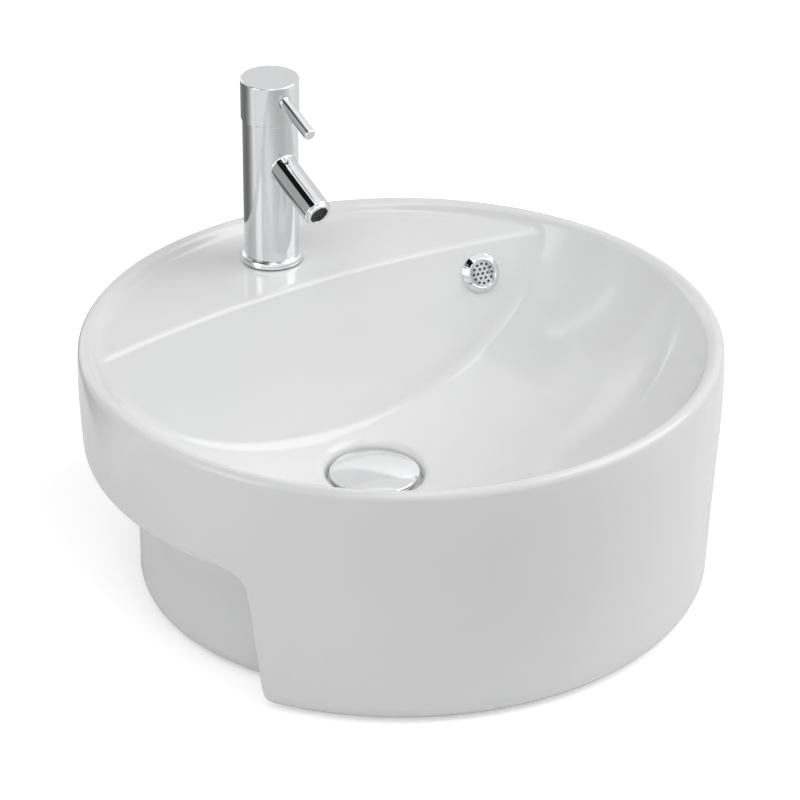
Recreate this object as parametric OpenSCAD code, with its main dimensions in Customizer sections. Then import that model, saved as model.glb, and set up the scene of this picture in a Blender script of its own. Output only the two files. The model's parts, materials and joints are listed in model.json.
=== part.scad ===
// Round semi-recessed countertop basin with a single-lever mixer, a push waste and an overflow.
// The origin lies under the middle of the rim, in the plane of the foot. +Z is up, -Y is the front.

/* [Basin outside] */
// Outside diameter of the rim
rim_d = 450; // [436:1:480]
// Height from the foot to the top of the rim
basin_h = 183; // [176:1:200]
// How far the outer wall draws in between the rim and the foot, on the radius
wall_taper = 8; // [4:0.5:16]
// Round between the outer wall and the foot of the front skirt
skirt_round = 14; // [12:1:28]
// Round of the rim, inside and outside
lip_round = 6; // [4:0.5:6.5]
// Depth of the band that overhangs the counter, below the top of the rim
band_h = 82; // [74:1:84]
// Round of the band's lower edge
band_round = 11; // [6:0.5:14]
// Overhang of the band beyond the tub that sinks through the counter
band_overhang = 42; // [38:1:46]
// Round of the tub's lower edge
tub_round = 8; // [5:0.5:9]
// Distance from the centre to the face that stops against the counter's front edge
stop_y = 110; // [100:1:125]
// Round where that face runs into the band
stop_round = 15; // [8:1:20]
// Thickness of the ceramic walls
wall_t = 11; // [9:0.5:12]
// Width of the foot ring that the walls stand on
foot_w = 6; // [5:0.5:7]

/* [Bowl and deck] */
// Width of the rim, between its outside and the bowl's mouth
rim_w = 10; // [9.5:0.5:14]
// Depth of the bowl below the top of the rim
bowl_depth = 124; // [112:1:126]
// Exponent of the bowl's profile: 2 is a round dish, more gives a flatter floor
bowl_power = 2.7; // [2.4:0.1:3.2]
// Drop from the top of the rim to the tap deck
deck_drop = 9; // [6:0.5:12]
// Thickness of the tap deck
deck_t = 14; // [12:0.5:16]
// Distance from the rim at the rear to the ridge between deck and bowl
deck_depth = 104; // [100:0.5:112]
// Radius of the ridge in plan
ridge_bow_r = 800; // [700:10:1500]
// Lean of the bowl's rear wall, from the vertical
wall_lean = 20; // [16:0.5:24]

/* [Waste] */
// Distance from the centre back to the waste
drain_y = 34; // [28:1:38]
// Radius of the waste hole in the ceramic
drain_hole_r = 22.75; // [22:0.25:24]
// Depth of the recess that takes the waste flange, below the bowl's floor
recess_drop = 6.5; // [6:0.25:8]
// Clearance round the cap inside the recess
recess_gap = 1.6; // [1.5:0.1:3.5]
// Radius of the boss under the waste hole
boss_r = 37; // [34:0.5:40]
// Thickness of the ceramic at the waste hole, from seat to boss face
boss_t = 26; // [24:0.5:28]
// Radius of the waste cap
cap_r = 32.5; // [30:0.5:34]
// Height of the cap's dome
cap_dome = 3.6; // [2:0.2:5]
// Thickness of the cap at its edge
cap_edge = 1.8; // [1.2:0.1:2.6]
// Travel of the cap between closed and open
cap_travel = 9; // [6:0.5:9]
// Radius of the waste flange
flange_r = 31.5; // [28:0.5:32]
// Thickness of the waste flange
flange_t = 2.5; // [2:0.1:3]
// Outside radius of the waste tail, G 1 1/4
tail_r = 20.95; // [20.5:0.05:21.3]
// Radius of the waterway in the tail
tail_bore_r = 17.6; // [16.5:0.1:18.2]
// Length of the waste tail that shows below its nut
tail_free = 9; // [5:0.5:9]
// Height of the waste nut
waste_nut_h = 9; // [7:0.5:9]

/* [Overflow] */
// Distance of the overflow from the bowl's mouth, across the basin
overflow_inset = 78; // [74:1:95]
// Drop from the top of the rim to the middle of the overflow
overflow_drop = 31.5; // [30:0.5:38]
// Radius of the overflow bezel at the ceramic
bezel_r = 14.6; // [13.6:0.2:15.6]
// Radius of the bezel's raised edge
bezel_top_r = 11.6; // [11:0.1:12.4]
// Height of the bezel above the ceramic
bezel_h = 4.6; // [3.6:0.2:6]
// Radius of the perforated disc
grille_r = 10; // [9.4:0.1:10.2]
// Radius of each hole in the disc
grille_hole_r = 0.95; // [0.6:0.05:1.1]
// Radius of the hole in the ceramic
overflow_hole_r = 11.5; // [11.2:0.1:12.2]
// Radius of the channel that leads the overflow to the waste
channel_r = 7; // [5:0.5:7.5]

/* [Mixer] */
// Distance from the rim at the rear to the middle of the tap hole
tap_inset = 57; // [52:1:62]
// Radius of the tap hole
tap_hole_r = 17.5; // [17:0.25:18.5]
// Height of the mixer above the deck
tap_h = 143; // [140:1:160]
// Height of the handle's head
head_h = 30; // [25:0.5:30]
// Radius of the mixer's body
tap_r = 20; // [19:0.5:20.5]
// Step between the body and the larger head, on the radius
head_step = 1; // [0.6:0.1:1.6]
// Radius of the base ring
base_ring_r = 22.5; // [22:0.5:26]
// Height of the base ring
base_ring_h = 5; // [4:0.5:6]
// Radius of the spout
spout_r = 10.5; // [9.5:0.25:11.5]
// Distance from the mixer's axis to the middle of the outlet
spout_reach = 62; // [56:1:75]
// Height of the middle of the outlet above the deck
outlet_h = 61; // [56:1:66]
// Slope of spout and lever below the horizontal
droop = 21.5; // [18:0.5:24]
// Radius of the lever
lever_r = 4.5; // [3.5:0.1:4.8]
// Distance from the mixer's axis to the lever's tip
lever_reach = 52; // [46:1:65]
// Drop from the top of the head to the lever's axis where it leaves the head
lever_drop = 11.5; // [11:0.5:12.5]
// Radius of the cartridge
cartridge_r = 14; // [13.5:0.1:14.3]
// Angle that the lever lifts from closed to full flow
lift_angle = 22; // [16:1:24]
// Radius of the minor diameter of the M10x1 inlets
inlet_r = 4.46; // [4.3:0.02:4.6]
// Distance of each inlet from the mixer's centre line
inlet_x = 8.4; // [7.8:0.1:9]
// Radius of the fixing stud
stud_r = 4; // [3:0.25:4.5]
// Distance of the stud behind the mixer's axis
stud_y = 9.5; // [8.5:0.25:10.5]

/* [Clearances] */
// Clearance of fixed pieces that slide into each other
fixed_gap = 0.1; // [0.05:0.05:0.2]
// Radial clearance of turning and sliding pieces
running_gap = 0.08; // [0.05:0.01:0.1]
// Free space between moving pieces that never touch
free_gap = 0.4; // [0.3:0.05:0.6]

/* [Hidden] */
$fn = 96;

// Levels of the basin
rim_r = rim_d / 2;
mouth_r = rim_r - rim_w;
foot_r = rim_r - wall_taper;
tub_r = rim_r - band_overhang;
ridge_y = rim_r - deck_depth;
tap_y = rim_r - tap_inset;
z_rim = basin_h;
z_deck = z_rim - deck_drop;
z_deck_under = z_deck - deck_t;
z_counter = z_rim - band_h;
over = 1;
far = 300;

// Shape of the open underside and of the stop's lower corner
foot_slope = 14;
recess_h = 16;
recess_flare = 4;
boss_root = 10;
lip_start = 2;
corner_round = 4;

// Levels of the waste, from the bowl's floor down to the end of the tail
bowl_z_at_drain = z_rim - bowl_depth * (1 - pow(drain_y / mouth_r, bowl_power));
z_seat = bowl_z_at_drain - recess_drop;
seat_seal_t = 1.5;
z_flange = z_seat + seat_seal_t;
z_flange_top = z_flange + flange_t;
z_cap = z_flange_top + free_gap;
z_boss = z_seat - boss_t;
boss_seal_t = 4;
z_washer_top = z_boss - boss_seal_t;
washer_t = 1.5;
z_nut_top = z_washer_top - washer_t;
z_nut_low = z_nut_top - waste_nut_h;
z_tail = z_nut_low - tail_free;

// Click mechanism in the waste
click_r = 5;
click_collar_r = 6.5;
click_bore_r = 4.3;
plunger_r = 2.9;
click_top = z_cap - 5;
click_floor = click_top - 30;
click_lip = 2;
click_wall_t = 1.8;
plunger_grip = 1.5;
spring_seat = click_floor + click_wall_t + 0.05;
piston_h = 4;
piston_z = click_top - click_lip - cap_travel - piston_h - 0.6;
spring_wire = 0.9;
spring_turns = 5;
hub_r = 7.4;
hub_h = 12;
hub_z = click_floor + 3;
runout_w = 0.8;
runout_depth = 0.5;
arm_w = 3;
arm_h = 6;
arm_turn = 70;
window_w = 13;
window_h = 2 * channel_r;
window_turn = 33;
z_channel = z_seat - boss_t / 2;
mouth_counterbore_r = 19.8;
mouth_counterbore = 3.2;
cap_hub_r = 5;
cap_hub_h = 3.6;
cap_rib_r = 17.2;
cap_rib_t = 3.7;
cap_rib_h = 2.8;
cap_seal_r = 19.4;
cap_seal_h = 2.6;

// Overflow fitting and the channel behind it
overflow_x = mouth_r - overflow_inset;
z_overflow = z_rim - overflow_drop;
overflow_hole_len = 15;
overflow_boss_len = 24;
channel_wall = 5;
channel_start = [2, 13, -5];
channel_bend = [overflow_x - 25, ridge_y - 12, z_counter + 4];
sleeve_t = 1;
sleeve_len = 12;
sleeve_r = overflow_hole_r - fixed_gap;
sleeve_flange_r = sleeve_r + 1.4;
sleeve_flange_t = 0.8;
slot_w = 2;
slot_len = 6;
bezel_lift = 0.2;
bezel_foot_h = 0.6;
bezel_stub_r = sleeve_r - sleeve_t - fixed_gap;
bezel_stub_len = 6;
bezel_bore_r = grille_r - 1;
bezel_round = 1;
grille_t = 1.2;
grille_sink = 0.5;
grille_rings = [[12, 0.72], [6, 0.38]];

// Levels of the mixer
head_r = tap_r + head_step;
base_seal_t = 1;
z_ring = z_deck + base_seal_t;
z_body = z_ring + base_ring_h;
z_head_top = z_deck + tap_h;
z_seam = z_head_top - head_h;
z_spigot = z_deck - 3;
spigot_r = tap_hole_r - 0.7;
outlet_y = -spout_reach;
z_outlet = z_deck + outlet_h;

// Cartridge, measured down from the lever's pivot
pivot_depth = 17;
z_pivot = z_seam - pivot_depth;
dome_r = sqrt(pow(tap_r, 2) + pow(pivot_depth, 2));
dome_t = 2.4;
dome_mouth_r = 10.6;
z_cart_seat = z_pivot - 28;
cart_seal_t = 1;
cart_base_t = 3;
disc_t = 4;
z_cart_base = z_cart_seat + cart_seal_t;
z_fixed = z_cart_base + cart_base_t;
z_moving = z_fixed + disc_t + 0.03;
moving_t = 3.4;
z_carrier = z_moving + moving_t;
z_rotor = z_pivot - 11.4;
carrier_t = z_rotor - free_gap - z_carrier;
rotor_flange_t = 3.5;
z_shoulder = z_rotor + rotor_flange_t + 0.1;
z_cart_top = z_pivot + 4;
neck_h = 3.2;
housing_wall = 1.6;
rotor_r = 10.2;
rotor_slot_end = 1.3;
neck_r = rotor_r + 2;
disc_r = 8.8;
stem_w = 8;
stem_up = head_h + pivot_depth - 6.5;
leg_r = 2.4;
tip_r = 2.5;
tip_down = 12.6;
lean = lift_angle / 2;
swing = tip_down * sin(lean);
pin_r = 1.25;
nut_r = tap_r - 3;
grub_r = 2;
z_grub = z_head_top - 13;
plug_t = 2.5;
stud_len = 50;
stud_grip = 13;
inlet_len = 14;
inlet_y = -4.5;
waterway_r = 3.5;
elbow_r = 3.1;
supply_r = 2.8;
chamber_drop = 13;
spout_bend_y = -27;
aerator_r = spout_r - 1.6;
aerator_len = 9;
aerator_seal_t = 1.2;
aerator_seal_w = 3;
aerator_nose = 2.2;
aerator_flare = 0.6;
insert_r = aerator_r - 1.3;
grid_pitch = 2.5;
grid_hole = 1.9;
key_x = 6;
key_y = 9.5;
key_r = 1.5;
key_len = 2;
port_places = [[-6.2, -4.2], [6.2, -4.2], [0, 0.8]];
port_r = 2.4;
seal_places = [[-inlet_x, inlet_y], [inlet_x, inlet_y], [0, 0.4]];
lever_root = 7;
cap_nut_h = 5;
cap_nut_hex_h = 2;
dome_skirt_t = 1.6;

// Fixing under the deck
gasket_t = 3;
plate_t = 2;
fixing_nut_h = 8;
horseshoe_r = tap_hole_r + 5;
hose_room = 2.6;
z_gasket = z_deck_under - gasket_t;
z_plate = z_gasket - plate_t;

// Points of an arc from angle a0 to a1
function arc(cx, cz, r, a0, a1, n) =
    [for (i = [0:n]) let (a = a0 + (a1 - a0) * i / n) [cx + r * cos(a), cz + r * sin(a)]];

// Outside radius of the drum at a height
function wall_r(z) =
    foot_r + wall_taper * (z - skirt_round) / (z_rim - lip_round - skirt_round);

// Profile of the bowl, grown by g all round, from the floor out to a share of the mouth's radius
function bowl_points(g, reach, n) =
    [for (i = [0:n]) let (rho = reach * sin(90 * i / n))
        [(mouth_r + g) * rho, z_rim - (bowl_depth + g) * (1 - pow(rho, bowl_power))]];

// Depth of the rear wall's face in plan, at a distance from the centre line and a height
function cone_r(z) = ridge_bow_r - (z_deck - z) * tan(wall_lean);
function rear_wall_y(x, z) =
    ridge_y - ridge_bow_r + sqrt(pow(cone_r(z), 2) - pow(x, 2));

module ring(r_out, r_in, h) {
    difference() {
        cylinder(r = r_out, h = h);
        translate([0, 0, -over]) cylinder(r = r_in, h = h + 2 * over);
    }
}

// A round bar between two points
module bar(a, b, r) {
    d = b - a;
    len = norm(d);
    translate(a)
        rotate([0, acos(d[2] / len), atan2(d[1], d[0])])
            cylinder(r = r, h = len);
}

module at_waste() {
    translate([0, drain_y, 0]) children();
}

module at_tap() {
    translate([0, tap_y, 0]) children();
}

// Stands children on the rear wall at the overflow, with +Z along the wall's normal
module at_overflow() {
    turn = asin(overflow_x / cone_r(z_overflow));
    translate([overflow_x, rear_wall_y(overflow_x, z_overflow), z_overflow])
        rotate([90 - wall_lean, 0, -turn])
            children();
}

// Lays children along the spout or the lever, with +Z pointing forward and down the slope
module along_slope() {
    rotate([90 + droop, 0, 0]) children();
}

// Basin

module drum() {
    rotate_extrude()
        polygon(concat(
            [[0, 0]],
            arc(foot_r - skirt_round, skirt_round, skirt_round, -90, 0, 7),
            arc(rim_r - lip_round, z_rim - lip_round, lip_round, 0, 90, 6),
            [[0, z_rim]]
        ));
}

// The fillets where the tub runs into the stop, one on each side
module stop_corners() {
    middle = [sqrt(pow(tub_r + corner_round, 2) - pow(stop_y - corner_round, 2)), corner_round - stop_y];
    root_x = sqrt(pow(tub_r, 2) - pow(stop_y, 2));
    for (s = [0, 1])
        mirror([s, 0, 0])
            linear_extrude(z_counter + over)
                difference() {
                    polygon([
                        [root_x - over, -stop_y - over], [middle[0], -stop_y - over],
                        middle, middle * (tub_r - over) / (tub_r + corner_round)
                    ]);
                    translate(middle) circle(r = corner_round);
                }
}

// What the counter takes away: everything under the band, outside the tub and behind the stop
module counter_cut() {
    edge_r = wall_r(z_counter + band_round) + 0.05;
    top = z_counter + band_round;
    difference() {
        counter_space(edge_r, top);
        stop_corners();
    }
}

module counter_space(edge_r, top) {
    intersection() {
        rotate_extrude()
            polygon(concat(
                [[tub_r - tub_round, -over]],
                arc(tub_r - tub_round, tub_round, tub_round, -90, 0, 5),
                [[tub_r, z_counter]],
                arc(edge_r - band_round, top, band_round, -90, 0, 6),
                [[rim_r + over, top], [rim_r + over, -over]]
            ));
        rotate([90, 0, 90])
            translate([0, 0, -far])
                linear_extrude(2 * far)
                    union() {
                        translate([stop_round - stop_y, -2 * over])
                            square([far + stop_y, top + 3 * over]);
                        translate([-stop_y, -2 * over])
                            square([stop_round + 0.5, top + 2 * over - stop_round]);
                        translate([stop_round - stop_y, top - stop_round])
                            circle(r = stop_round);
                    }
    }
}

// The space in front of the rear wall, moved back by g
module before_rear_wall(g) {
    low = -10;
    high = z_deck + over;
    grow = g / cos(wall_lean);
    translate([0, ridge_y - ridge_bow_r, low])
        cylinder(h = high - low, r1 = cone_r(low) + grow, r2 = cone_r(high) + grow, $fn = 360);
}

// The bowl's space, with the rim's inner round at its mouth
module bowl_space() {
    steep = atan(bowl_depth * bowl_power / mouth_r);
    tangent = lip_round * tan(steep / 2);
    lip_r = mouth_r + tangent;
    rotate_extrude($fn = 144)
        polygon(concat(
            bowl_points(0, 1 - tangent * cos(steep) / mouth_r, 20),
            arc(lip_r, z_rim - lip_round, lip_round, 90 + steep - lip_start, 90, 4),
            [[lip_r, z_rim + over], [0, z_rim + over]]
        ));
}

// The bowl's underside, one wall below its space
module bowl_shell() {
    rotate_extrude($fn = 144)
        polygon(concat(
            bowl_points(wall_t, 1, 20),
            [[mouth_r + wall_t, z_rim + over], [0, z_rim + over]]
        ));
}

module bowl_cut() {
    intersection() {
        bowl_space();
        union() {
            before_rear_wall(0);
            translate([-far, -far, z_deck]) cube([2 * far, 2 * far, deck_drop + 2 * over]);
        }
    }
}

// The open space under the bowl, up to the deck
module underside() {
    tub_in = tub_r - wall_t;
    band_in = wall_r(z_counter) - wall_t;
    skirt_in = foot_r - skirt_round - foot_w;
    rotate_extrude()
        polygon([
            [0, -over], [tub_r - tub_round - foot_w, -over], [tub_r - tub_round - foot_w, over],
            [tub_in, over + foot_slope], [tub_in, z_counter + wall_t],
            [band_in, z_counter + wall_t], [band_in, z_deck_under], [0, z_deck_under]
        ]);
    intersection() {
        rotate_extrude()
            polygon([
                [0, -over], [skirt_in, -over], [skirt_in, over],
                [wall_r(skirt_round + foot_slope) - wall_t, skirt_round + foot_slope],
                [wall_r(z_deck_under) - wall_t, z_deck_under - 0.5], [0, z_deck_under - 0.5]
            ]);
        translate([-far, -far - stop_y - wall_t, -2 * over]) cube([2 * far, far, z_rim]);
    }
}

// The overflow channel: behind the wall, down inside the tub, across to the waste
module channel(r) {
    route = [
        [overflow_x, rear_wall_y(overflow_x, z_overflow), z_overflow] + channel_start,
        channel_bend,
        [channel_bend[0], channel_bend[1], z_channel],
        [0, drain_y, z_channel]
    ];
    for (i = [0:2]) bar(route[i], route[i + 1], r);
    for (i = [0:2]) translate(route[i]) sphere(r = r + 0.3, $fn = 48);
}

module bowl_backing() {
    intersection() {
        bowl_shell();
        before_rear_wall(wall_t);
    }
    at_waste() translate([0, 0, z_boss]) cylinder(r = boss_r, h = boss_t + boss_root);
    channel(channel_r + channel_wall);
    at_overflow()
        translate([0, 0, -overflow_boss_len])
            cylinder(r = overflow_hole_r + channel_wall, h = overflow_boss_len);
}

module basin_body() {
    color("white")
        difference() {
            drum();
            counter_cut();
            bowl_cut();
            difference() {
                underside();
                bowl_backing();
            }
            at_waste() {
                translate([0, 0, z_seat])
                    cylinder(h = recess_h, r1 = cap_r + recess_gap, r2 = cap_r + recess_gap + recess_flare);
                translate([0, 0, z_boss - over]) cylinder(r = drain_hole_r, h = boss_t + 2 * over);
            }
            channel(channel_r);
            at_overflow()
                translate([0, 0, -overflow_hole_len])
                    cylinder(r = overflow_hole_r, h = overflow_hole_len + 3 * over);
            at_tap() translate([0, 0, z_deck_under - over]) cylinder(r = tap_hole_r, h = deck_t + 2 * over);
        }
}

// Overflow fitting

module overflow_sleeve() {
    color("gainsboro")
        at_overflow()
            difference() {
                union() {
                    translate([0, 0, -sleeve_len])
                        cylinder(r = sleeve_r, h = sleeve_len + bezel_lift + sleeve_flange_t);
                    translate([0, 0, bezel_lift]) cylinder(r = sleeve_flange_r, h = sleeve_flange_t);
                }
                translate([0, 0, -sleeve_len - over])
                    cylinder(r = sleeve_r - sleeve_t, h = sleeve_len + 4 * over);
                // Four slots let the sleeve spring into the hole
                for (a = [0:90:270])
                    rotate([0, 0, a])
                        translate([0, -slot_w / 2, -sleeve_len - over]) cube([far, slot_w, slot_len + over]);
            }
}

module overflow_bezel() {
    color("silver")
        at_overflow()
            difference() {
                union() {
                    rotate_extrude()
                        polygon(concat(
                            [[0, bezel_lift], [bezel_r, bezel_lift], [bezel_r, bezel_lift + bezel_foot_h]],
                            arc(bezel_top_r - bezel_round, bezel_h - bezel_round, bezel_round, 45, 90, 3),
                            [[0, bezel_h]]
                        ));
                    translate([0, 0, -bezel_stub_len]) cylinder(r = bezel_stub_r, h = bezel_stub_len + over);
                }
                // Room for the sleeve's flange round the stub
                translate([0, 0, bezel_lift - over])
                    ring(sleeve_flange_r + fixed_gap, bezel_stub_r, over + sleeve_flange_t);
                translate([0, 0, -bezel_stub_len - over])
                    cylinder(r = bezel_bore_r, h = bezel_stub_len + bezel_h + 2 * over);
                translate([0, 0, bezel_h - grille_sink - grille_t])
                    cylinder(r = grille_r + fixed_gap, h = grille_sink + grille_t + over);
            }
}

module overflow_grille() {
    color("silver")
        at_overflow()
            translate([0, 0, bezel_h - grille_sink - grille_t])
                difference() {
                    cylinder(r = grille_r, h = grille_t);
                    for (g = grille_rings)
                        for (i = [0:g[0] - 1])
                            rotate([0, 0, 360 * i / g[0]])
                                translate([grille_r * g[1], 0, -over])
                                    cylinder(r = grille_hole_r, h = grille_t + 2 * over, $fn = 24);
                    translate([0, 0, -over]) cylinder(r = grille_hole_r, h = grille_t + 2 * over, $fn = 24);
                }
}

// Waste

module waste_seat_seal() {
    color("dimgray")
        at_waste() translate([0, 0, z_seat]) ring(flange_r - 1.5, drain_hole_r, seat_seal_t);
}

module waste_body() {
    color("silver")
        at_waste() {
            difference() {
                union() {
                    translate([0, 0, z_tail]) cylinder(r = tail_r, h = z_flange + flange_t / 2 - z_tail);
                    translate([0, 0, z_flange])
                        cylinder(h = flange_t, r1 = flange_r - 0.8, r2 = flange_r);
                }
                translate([0, 0, z_tail - over])
                    cylinder(r = tail_bore_r, h = z_flange_top - z_tail + 2 * over);
                translate([0, 0, z_flange_top - mouth_counterbore])
                    cylinder(r = mouth_counterbore_r, h = mouth_counterbore + over);
                // Thread runout between the nut's place and the end that takes the trap
                translate([0, 0, z_tail + tail_free - runout_w])
                    ring(tail_r + over, tail_r - runout_depth, runout_w);
                for (s = [0, 180])
                    rotate([0, 0, s + window_turn])
                        translate([0, -window_w / 2, z_channel - window_h / 2])
                            cube([far, window_w, window_h]);
            }
            // Hub on four arms that carries the click mechanism
            difference() {
                union() {
                    translate([0, 0, hub_z]) cylinder(r = hub_r, h = hub_h);
                    for (a = [0:90:270])
                        rotate([0, 0, a + arm_turn])
                            translate([0, -arm_w / 2, hub_z]) cube([tail_bore_r + over / 2, arm_w, arm_h]);
                }
                translate([0, 0, hub_z - over]) cylinder(r = click_r + fixed_gap, h = hub_h + 2 * over);
            }
        }
}

module waste_boss_seal() {
    color("dimgray")
        at_waste()
            translate([0, 0, z_washer_top])
                difference() {
                    cylinder(h = boss_seal_t, r1 = boss_r - 5, r2 = boss_r - 3);
                    translate([0, 0, -over]) cylinder(r = tail_r + fixed_gap, h = boss_seal_t + 2 * over);
                }
}

module waste_washer() {
    color("gainsboro")
        at_waste() translate([0, 0, z_nut_top]) ring(boss_r - 4, tail_r + fixed_gap, washer_t);
}

module waste_nut() {
    nut_round_r = tail_r + 6;
    color("goldenrod")
        at_waste()
            translate([0, 0, z_nut_low])
                difference() {
                    union() {
                        cylinder(r = nut_round_r, h = waste_nut_h);
                        for (a = [0:60:300])
                            rotate([0, 0, a])
                                translate([nut_round_r - 1, -4, 0]) cube([4.5, 8, waste_nut_h - 1.5]);
                    }
                    translate([0, 0, -over]) cylinder(r = tail_r + fixed_gap, h = waste_nut_h + 2 * over);
                }
}

module click_housing() {
    collar_z = hub_z + hub_h;
    color("ivory")
        at_waste()
            difference() {
                union() {
                    translate([0, 0, click_floor]) cylinder(r = click_r, h = click_top - click_floor);
                    translate([0, 0, collar_z]) cylinder(r = click_collar_r, h = click_top - collar_z);
                }
                translate([0, 0, click_floor + click_wall_t])
                    cylinder(r = click_bore_r, h = click_top - click_lip - click_floor - click_wall_t);
                translate([0, 0, click_top - click_lip - over])
                    cylinder(r = plunger_r + running_gap, h = click_lip + 2 * over);
            }
}

// Round wire swept along a helix, as one closed surface
module helix_wire(coil_r, wire_r, turns, height) {
    steps = 14;
    sides = 6;
    n = turns * steps;
    pts = [for (i = [0:n], j = [0:sides - 1])
        let (a = 360 * i / steps, b = 360 * j / sides, z = wire_r + (height - 2 * wire_r) * i / n)
        [(coil_r + wire_r * cos(b)) * cos(a), (coil_r + wire_r * cos(b)) * sin(a), z + wire_r * sin(b)]];
    walls = [for (i = [0:n - 1], j = [0:sides - 1])
        let (k = (j + 1) % sides)
        [i * sides + j, (i + 1) * sides + j, (i + 1) * sides + k, i * sides + k]];
    first = [[for (j = [0:sides - 1]) j]];
    last = [[for (j = [sides - 1:-1:0]) n * sides + j]];
    polyhedron(points = pts, faces = concat(walls, first, last), convexity = 10);
}

module click_spring() {
    color("silver")
        at_waste()
            translate([0, 0, spring_seat])
                helix_wire(click_bore_r - spring_wire / 2 - 0.35, spring_wire / 2, spring_turns,
                    piston_z - 0.05 - spring_seat);
}

module waste_plunger() {
    color("silver")
        at_waste() {
            translate([0, 0, piston_z]) cylinder(r = click_bore_r - running_gap, h = piston_h);
            translate([0, 0, piston_z]) cylinder(r = plunger_r, h = z_cap + plunger_grip - piston_z);
        }
}

module waste_cap() {
    dome_ball = (pow(cap_r, 2) + pow(cap_dome, 2)) / (2 * cap_dome);
    low = z_cap;
    color("silver")
        at_waste()
            difference() {
                union() {
                    translate([0, 0, low]) cylinder(h = cap_edge, r1 = cap_r - 0.6, r2 = cap_r);
                    intersection() {
                        translate([0, 0, low + cap_edge]) cylinder(r = cap_r, h = cap_dome + over);
                        translate([0, 0, low + cap_edge + cap_dome - dome_ball])
                            sphere(r = dome_ball, $fn = 240);
                    }
                    translate([0, 0, low - cap_hub_h]) cylinder(r = cap_hub_r, h = cap_hub_h + cap_edge);
                    translate([0, 0, low - cap_rib_h])
                        ring(cap_rib_r, cap_rib_r - cap_rib_t, cap_rib_h + cap_edge);
                }
                translate([0, 0, low - cap_hub_h - over])
                    cylinder(r = plunger_r + fixed_gap, h = cap_hub_h + over + plunger_grip + fixed_gap);
            }
}

module waste_cap_seal() {
    color("dimgray")
        at_waste() translate([0, 0, z_cap - cap_seal_h]) ring(cap_seal_r, cap_rib_r, cap_seal_h);
}

// Mixer

module tap_base_seal() {
    color("dimgray")
        at_tap() translate([0, 0, z_deck]) ring(base_ring_r - 1.2, tap_hole_r, base_seal_t);
}

module tap_base_ring() {
    round = 1.2;
    color("silver")
        at_tap()
            rotate_extrude()
                polygon(concat(
                    [[spigot_r + fixed_gap, z_ring], [base_ring_r, z_ring]],
                    arc(base_ring_r - round, z_body - round, round, 0, 90, 5),
                    [[spigot_r + fixed_gap, z_body]]
                ));
}

// The spout from inside the body to its open end
module spout(r) {
    root = [0, -tap_r / 2, z_outlet + (spout_reach - tap_r / 2) * tan(droop)];
    len = (spout_reach - tap_r / 2) / cos(droop);
    translate(root) along_slope() cylinder(r = r, h = len);
}

module at_outlet() {
    translate([0, outlet_y, z_outlet]) along_slope() children();
}

module tap_body() {
    z_chamber = z_cart_seat - chamber_drop;
    bend = [0, spout_bend_y, z_outlet + (spout_reach + spout_bend_y) * tan(droop)];
    bend_len = (spout_reach + spout_bend_y) / cos(droop);
    color("silver")
        at_tap()
            difference() {
                union() {
                    translate([0, 0, z_body]) cylinder(r = tap_r, h = z_seam - z_body);
                    translate([0, 0, z_spigot]) cylinder(r = spigot_r, h = z_body - z_spigot + over);
                    spout(spout_r);
                }
                // Seat of the cartridge and thread of its nut
                translate([0, 0, z_cart_seat])
                    cylinder(r = cartridge_r + fixed_gap, h = z_seam - z_cart_seat + over);
                translate([0, 0, z_cart_top]) cylinder(r = nut_r + fixed_gap, h = z_seam - z_cart_top + over);
                // Waterways: two inlets, the outlet chamber and the spout
                for (s = [-1, 1])
                    translate([s * inlet_x, inlet_y, 0]) {
                        translate([0, 0, z_spigot - over]) cylinder(r = inlet_r, h = inlet_len + over);
                        translate([0, 0, z_spigot]) cylinder(r = supply_r, h = z_cart_seat - z_spigot + over);
                    }
                translate([0, 0, z_chamber]) cylinder(r = waterway_r, h = chamber_drop + over);
                bar([0, 0, z_chamber + waterway_r], bend, elbow_r);
                translate(bend) along_slope() cylinder(r = spout_r - 4, h = bend_len + over);
                at_outlet()
                    translate([0, 0, -aerator_len])
                        cylinder(r = aerator_r + fixed_gap, h = aerator_len + over);
                // Socket of the fixing stud
                translate([0, stud_y, z_spigot - over])
                    cylinder(r = stud_r + fixed_gap, h = stud_grip + over);
                // Two sockets that key the cartridge
                for (s = [-1, 1])
                    translate([s * key_x, key_y, z_cart_seat - key_len - free_gap])
                        cylinder(r = key_r + fixed_gap, h = key_len + free_gap + over);
            }
}

module aerator_seal() {
    color("dimgray")
        at_tap()
            at_outlet()
                translate([0, 0, -aerator_len])
                    ring(aerator_r - fixed_gap, aerator_r - aerator_seal_w, aerator_seal_t);
}

module aerator_insert() {
    color("ivory")
        at_tap()
            at_outlet()
                translate([0, 0, aerator_seal_t - aerator_len])
                    difference() {
                        cylinder(r = insert_r, h = aerator_len - 2);
                        for (x = [-2:2], y = [-2:2])
                            if (abs(x) + abs(y) < 4)
                                translate([x * grid_pitch, y * grid_pitch, aerator_len / 2])
                                    cube([grid_hole, grid_hole, 2 * aerator_len], center = true);
                    }
}

module aerator_housing() {
    color("silver")
        at_tap()
            at_outlet()
                difference() {
                    union() {
                        translate([0, 0, aerator_seal_t - aerator_len])
                            cylinder(r = aerator_r, h = aerator_len - aerator_seal_t);
                        cylinder(h = aerator_nose, r1 = aerator_r + aerator_flare, r2 = aerator_r);
                    }
                    translate([0, 0, -aerator_len]) cylinder(r = insert_r + fixed_gap, h = aerator_len + 0.2);
                    translate([0, 0, -over]) cylinder(r = insert_r - 0.8, h = 5);
                }
}

// Cartridge

module cartridge_seals() {
    color("dimgray")
        at_tap()
            for (p = seal_places)
                translate([p[0], p[1], z_cart_seat]) ring(4.1, 3, cart_seal_t);
}

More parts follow.
